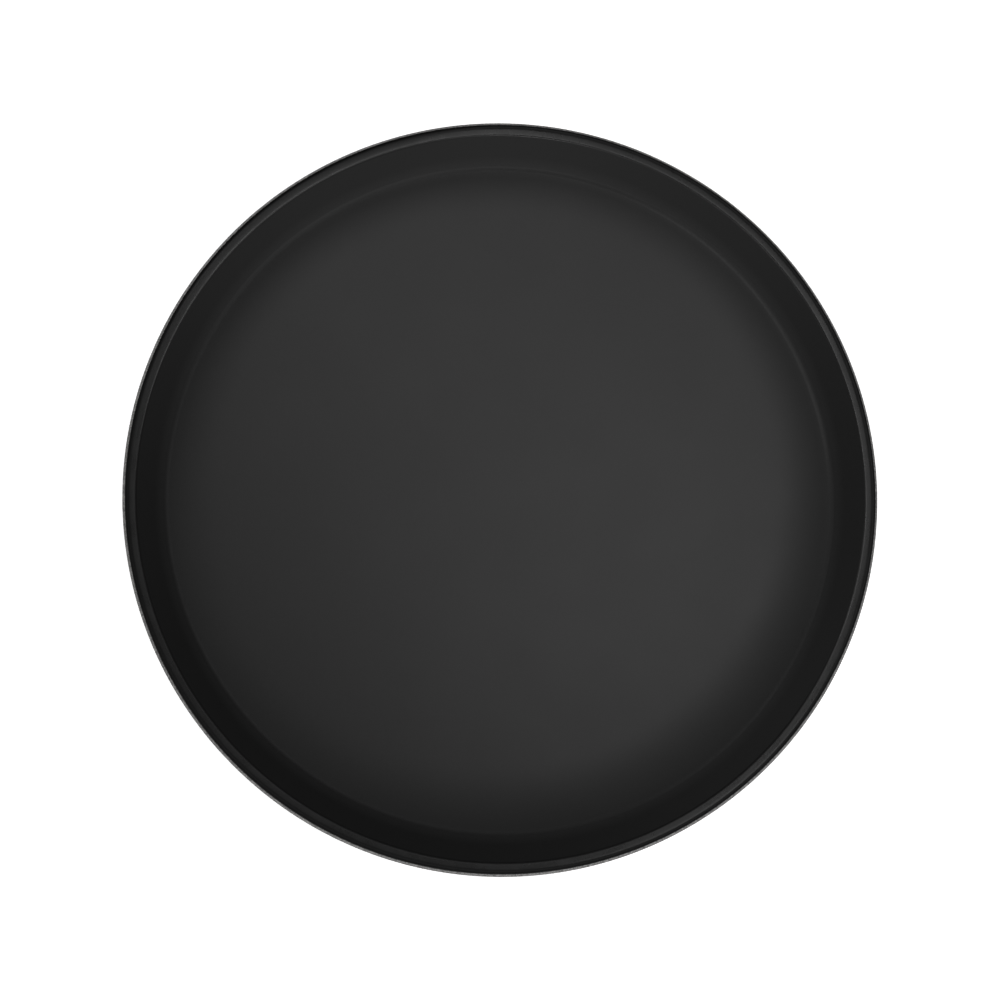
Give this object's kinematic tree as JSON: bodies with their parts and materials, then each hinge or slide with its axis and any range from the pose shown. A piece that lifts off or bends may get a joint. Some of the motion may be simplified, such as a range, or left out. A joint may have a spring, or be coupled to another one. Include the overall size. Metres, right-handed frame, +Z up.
{
  "type": "serving tray",
  "caption": "Round black non-slip waiter's tray: moulded glass-fibre shell with a slanted wall and a beaded rim, lined with bonded rubber.",
  "frame": {"origin": "centre of the base, on the surface that the tray stands on", "axes": "+Z up, along the tray's axis of revolution, out of its open side; X and Y lie in the base and are equivalent"},
  "size_m": [0.4064, 0.4064, 0.023],
  "materials": {
    "laminate": "black compression-moulded glass-reinforced polyester, satin, with a rough grey trimmed edge",
    "rubber": "matt black non-slip rubber sheet with a fine cloth-like grain",
    "steel": "drawn mild steel wire, bright"
  },
  "bodies": {
    "root": {"fibreglass_shell": "laminate", "rubber_lining": "rubber", "rim_wire": "steel"}
  },
  "joints": []
}
